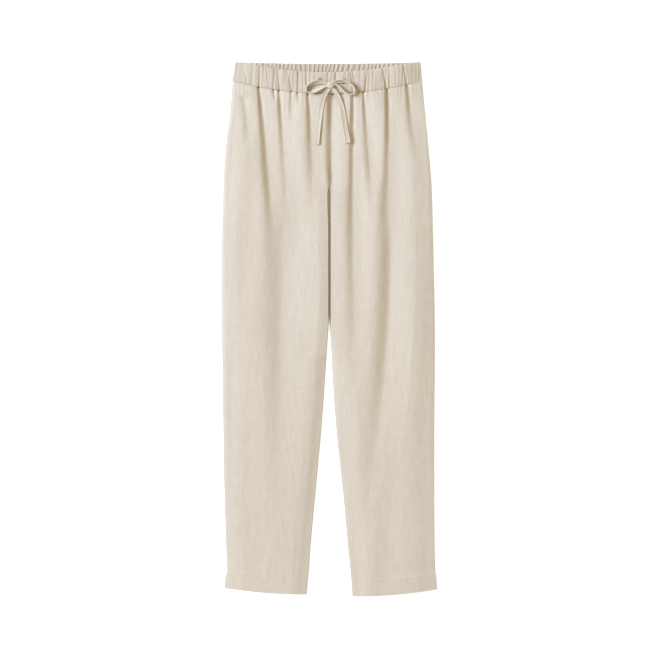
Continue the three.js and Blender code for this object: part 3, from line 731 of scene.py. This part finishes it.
def front_top(side, x, y, above_hem=FAR):
    """Height of the upper face of a front leg."""
    outward, inward, apart = edges_at(side, x, y)
    below_seam = front_seam(x) - y
    height = mix(STACK, PRESSED, thinning(outward, inward, apart))
    height = height + FULLNESS * loft_at(y) * loft_share(side, x, y, outward, inward, apart)
    height = height + HEM_EXTRA * (1 - smoothstep(above_hem, HEM_DEPTH - 1, HEM_DEPTH + 3))
    height = height + seam_relief(side, x, below_seam)
    margin = smoothstep(np.minimum(outward, inward), 1, 16)
    ditch = HEM_DITCH * bell(above_hem - HEM_DEPTH, 1.3)
    return height + margin * crumples(x, y, below_seam, above_hem) - ditch


def leg_grid(side, seam, across, down):
    """x, y and height above the hem line for a leg's columns and rows."""
    start, end = ("right_outer", "right_inner") if side == "right" else ("left_inner", "left_outer")
    inward = across if side == "right" else 1 - across
    inward, down = np.meshgrid(inward, down)
    across = inward if side == "right" else 1 - inward
    hem = hem_line(side, inward)
    y = mix(FRONT_SEAM, hem, down)
    x = np.zeros_like(y)
    for _ in range(5):
        x = mix(outline_at(start, y), outline_at(end, y), across)
        y = mix(seam(x), hem, down)
    return x, y, y - hem


def edged(columns, fine, share):
    """Shares from 0 to 1 across a panel, with fine extra columns within share of each side."""
    side = share * (1 - np.cos(np.linspace(0, math.pi / 2, fine + 1)))
    middle = np.linspace(share, 1 - share, columns - 2 * fine + 1)
    return np.concatenate([side[:-1], middle, (1 - side[:-1])[::-1]])


def tucked_seam(x):
    return front_seam(x) + TUCK


def leg_rows():
    """Shares from 0 at the waist seam to 1 at the hem, closest together at the seam and in the hem."""
    body = 0.9
    upper = np.linspace(0, body, 240)[:-1] ** 1.2 * body ** -0.2
    return np.concatenate([upper, np.linspace(body, 1, 60)])


def beside_the_slot(side, x, y, inward):
    """x with a leg's inner edge moved sideways along the slot."""
    slot = smoothstep(SLOT_TOP + 8 - y, 0, 16) * (1 - smoothstep(PARTED - y, 0, 40))
    shift = mix(*SLOT_SHIFT[side], smoothstep(SLOT_TOP - y, 15, 75))
    return x + shift * slot * bell(inward, 9)


def front_leg(side):
    x, y, above_hem = leg_grid(side, tucked_seam, edged(146, 8, 0.02), leg_rows())
    z = front_top(side, x, y, above_hem)
    outward, inward, _ = edges_at(side, x, y)
    inner = inward + 12 * smoothstep(y, SLOT_TOP, SLOT_TOP + 30)
    turn = rounded(np.minimum(outward / SIDE_SLOPES[side].turn, inner / INNER_TURN[side]), 1)
    floor = back_top(side, x, y) + 0.12
    under_band = 1 - smoothstep(front_seam(x) - y, -0.2, 0.9)
    z = mix(np.maximum(z, floor + 0.3), floor + 0.4, under_band)
    z = floor + (z - floor) * turn
    x = beside_the_slot(side, x, y, inward)
    lower = with_heights(x, y, np.maximum(z - CLOTH * turn, floor - 0.08))
    piece = shell_piece(f"front_{side}_leg_cloth", with_heights(x, y, z), lower, linen)
    return dress(piece, "linen", f"front_{side}_leg")


def back_leg(side):
    x, y, above_hem = leg_grid(side, back_seam, edged(60, 8, 0.02), np.linspace(0, 1, 160))
    outward, inward, _ = edges_at(side, x, y)
    turn = rounded(np.minimum(outward, inward), 0.8)
    ditch = 0.25 * bell(above_hem - HEM_DEPTH, 1.2)
    height = back_top(side, x, y)
    lower = with_heights(x, y, 0.5 * height * (1 - turn) + 0.02 + ditch * turn)
    upper = with_heights(x, y, height * (0.8 + 0.2 * turn))
    return dress(shell_piece(f"back_{side}_leg_cloth", upper, lower, linen), "linen", f"back_{side}_leg")


# ---- waistband ----
def band_grid(top_edge, seam, across, down):
    """x, y and the share of the way down from the top edge for a band's columns and rows."""
    across, down = np.meshgrid(across, down)
    y = mix(WAIST_TOP, FRONT_SEAM, down)
    x = np.zeros_like(y)
    for _ in range(5):
        x = mix(outline_at("right_outer", y), outline_at("left_outer", y), across)
        y = mix(top_edge(x), seam(x), down)
    return x, y, down


def gather_share(x, down):
    """The share of its loft that the front band keeps beside its ends and in its gathers."""
    share = 1 - 0.8 * climb(from_waist_ends(x), 50)
    for gather in GATHERS:
        gap = x - gather.x - gather.slant * down
        across = sharp_crease(gap, gather.width, 5.5 * gather.width)
        share = share * (1 - GATHER_DEPTH * mix(gather.top, gather.foot, down) * across)
    return share


def front_band():
    x, y, down = band_grid(front_top_edge, front_seam, edged(560, 10, 0.012), np.linspace(0, 1, 40))
    back = WALL + BACK_GATHER_RISE
    under = back + SEAM_GAP + BAND_FULLNESS * BAND_LOFT * gather_share(x, down)
    at_end = climb(from_waist_ends(x), EDGE_THINNING)
    wall = mix(BAND_WALL, CLOTH, at_end)
    puff = BAND_PUFF * np.sin(math.pi * down) ** 0.5 - 0.4 * smoothstep(down, 0.9, 1.0)
    broad = 0.22 * ripple(x, y, seed=21, across=9, along=60)
    fine = 0.1 * ripple(x, y, seed=22, across=4, along=30)
    top_edge = 0.5 * smoothstep(0.06 - down, 0, 0.06)
    z = under + wall + puff * (1 - 0.7 * at_end) + broad + fine - top_edge
    turn = rounded(from_side_seams(x, y), 1.2)
    floor = back + 0.1
    z = floor + (z - floor) * turn
    scallop = 0.5 * ripple(x, 0 * x, seed=23, across=9, along=200) * (1 - down) ** 3
    y = y + scallop * turn
    lower = with_heights(x, y, np.maximum(z - wall * turn, floor - 0.05))
    piece = shell_piece("front_waistband_cloth", with_heights(x, y, z), lower, band_linen_painted_shade)
    return dress(piece, "linen", "front_waistband")


def back_gather_phase(x, down):
    """Where a place lies in the back band's row of gathers, which lean and are unevenly spaced."""
    lean = 7 + 4 * np.sin(x / 37 + 0.4) + 3 * np.sin(x / 15 + 1)
    even = 2 * math.pi * (x + lean * down) / BACK_GATHER_PITCH
    return even + 1.5 * np.sin(x / 13) + 1.1 * np.sin(x / 29 + 2)


def back_band():
    x, y, down = band_grid(back_top_edge, back_seam, edged(430, 10, 0.012), np.linspace(0, 1, 30))
    phase = back_gather_phase(x, down)
    broad = 0.5 - 0.5 * np.cos(phase)
    fine = 0.5 - 0.5 * np.cos(2.2 * phase + 1.7 * np.sin(x / 9))
    crest = 0.62 * broad + 0.38 * fine
    shown = 1 - smoothstep(down, 0.35, 0.6)
    shown = shown * smoothstep(back_top_edge(x) - front_top_edge(x), 0.5, 6)
    lip = BACK_LIP * (1 - smoothstep(down, 0, 0.5))
    crumple = 0.3 * ripple(x, y, seed=31, across=5, along=30)
    rise = BACK_GATHER_RISE * crest + shown * (lip + 0.55 * crest ** 0.7 + crumple)
    turn = rounded(from_side_seams(x, y), 2.5)
    top_roll = rounded(down, 0.05)
    z = CLOTH + (WALL + rise - CLOTH) * np.minimum(turn, 0.35 + 0.65 * top_roll)
    y = y + 0.35 * np.cos(phase) * (1 - down) ** 4
    lower = with_heights(x, y, 0.65 * (1 - turn) + 0.02)
    piece = shell_piece("back_waistband_cloth", with_heights(x, y, z), lower, band_linen_painted_shade)
    return dress(piece, "linen", "back_waistband")


# ---- eyelets ----
def make_eyelet(side):
    """A rolled metal rim round a dark disc, painted shadow in its hole."""
    sides = 48
    centre = np.array([*EYELETS[side], EYELET_FLOOR])
    angles = np.linspace(0, 2 * math.pi, sides, endpoint=False)
    rings = np.array([[(r * math.cos(a), r * math.sin(a), h) for r, h in EYELET_PROFILE] for a in angles])
    rim = tube_piece(f"{side}_eyelet_rim", rings + centre, eyelet_metal, closed=True)
    dress(rim, "eyelet_metal", f"{side}_eyelet")
    disc = np.array([[(EYELET_HOLE * math.cos(a), EYELET_HOLE * math.sin(a), h) for a in angles]
                     for h in (-0.75, -0.35)])
    hole = tube_piece(f"{side}_eyelet_hole", disc + centre, painted_hole_shadow)
    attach(hole, "root")


# ---- stitching ----
def stitch_row(name, points, length=2.9, gap=0.9, radius=0.22, material=thread_cotton):
    """Sewing thread lying along points, as short rounded stitches whose ends go into the cloth."""
    sides = 6
    heights = np.array([-0.25, 0.05, 0.15, 0.15, 0.05, -0.25])
    radii = radius * np.array([0.5, 0.9, 1, 1, 0.9, 0.5])
    rings = len(heights)
    angles = np.linspace(0, 2 * math.pi, sides, endpoint=False)
    steps = np.linalg.norm(np.diff(points, axis=0), axis=1)
    reach = np.concatenate([[0], np.cumsum(steps)])
    vertices, faces = [], []
    for start in np.arange(gap, reach[-1] - length, length + gap):
        at = start + np.linspace(0, 1, rings) * length
        middle = np.stack([np.interp(at, reach, points[:, k]) for k in range(3)], -1)
        middle[:, 2] += heights
        along = unit(np.gradient(middle, axis=0))
        aside = unit(np.cross(along, [0, 0, 1]))
        lift = np.cross(aside, along)
        first = len(vertices)
        last = first + (rings - 1) * sides
        for spot, a, b, size in zip(middle, aside, lift, radii):
            vertices += [spot + size * (math.cos(t) * a + math.sin(t) * b) for t in angles]
        for low in range(first, last, sides):
            high = low + sides
            for k in range(sides):
                after = (k + 1) % sides
                faces.append([low + k, high + k, high + after, low + after])
        faces.append([first + k for k in range(sides)])
        faces.append([last + k for k in reversed(range(sides))])
    piece = mesh_piece(name, np.array(vertices), faces, material)
    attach(piece, "root")
    return piece


def hem_stitches(side):
    """The row of stitches that holds the turned-up hem."""
    inward = np.linspace(0.02, 0.98, 200)
    y = hem_line(side, inward) + HEM_DEPTH - HEM_STITCH_DROP
    x = mix(outline_at(f"{side}_outer", y), outline_at(f"{side}_inner", y), inward)
    z = front_top(side, x, y, HEM_DEPTH - HEM_STITCH_DROP) + 0.3
    return stitch_row(f"{side}_hem_stitches", with_heights(x, y, z))


def waist_seam_shade_thread(side):
    """Stitches in the ditch between the band and a front leg, in thread darker than the cloth: real
    stitching that also paints the ditch's shade as a brown line.
    """
    edges = (-166, -1) if side == "right" else (1, 162)
    x = np.linspace(*edges, 260)
    y = front_seam(x) - 0.7
    z = front_top(side, x, y) + 0.12
    return stitch_row(f"{side}_waist_seam_shade_thread", with_heights(x, y, z),
                      length=3.6, radius=0.24, material=shade_brown_thread)


# ---- stage and light ----
def make_stage():
    """A plain white floor, 12 m across."""
    half = 6
    corners = [(-half, -half, 0), (half, -half, 0), (half, half, 0), (-half, half, 0)]
    floor = bpy.data.meshes.new("floor")
    floor.from_pydata(corners, [], [[0, 1, 2, 3]])
    paper = glowing_paper("floor_paper", (0.97, 0.97, 0.97), glow=(0.76, 0.88, 1), strength=0.7)
    floor.materials.append(paper)
    piece = bpy.data.objects.new("floor", floor)
    bpy.context.scene.collection.objects.link(piece)


def area_light(name, place, size, power, colour):
    """A round light that faces the middle of the garment."""
    data = bpy.data.lights.new(name, "AREA")
    data.shape = "DISK"
    data.size = size
    data.energy = power
    data.color = colour
    light = bpy.data.objects.new(name, data)
    light.location = place
    aim = -np.array(place) / np.linalg.norm(place)
    light.rotation_euler = Vector(aim).to_track_quat("-Z", "Y").to_euler()
    bpy.context.scene.collection.objects.link(light)


def make_light():
    """A cool key light from the left and warm surroundings, so that shadows turn golden."""
    area_light("key", place=(-7.9, 2.3, 4.6), size=4.2, power=1445, colour=(0.652, 0.773, 1))
    area_light("fill", place=(0.6, 0.4, 3.2), size=3.0, power=8, colour=(1, 0.83, 0.52))
    world = bpy.data.worlds.new("world")
    world.use_nodes = True
    surroundings = world.node_tree.nodes["Background"]
    surroundings.inputs["Color"].default_value = (1.2, 1, 0.62, 1)
    surroundings.inputs["Strength"].default_value = 0.44
    bpy.context.scene.world = world
    bpy.context.scene.view_settings.view_transform = "Standard"


# ---- build ----
make_camera()
cords = make_drawstring()
knot = make_knot()
for side in ("right", "left"):
    front = front_leg(side)
    back = back_leg(side)
    make_eyelet(side)
    hem_stitches(side)
    waist_seam_shade_thread(side)
front_band()
back_band()
make_stage()
make_light()
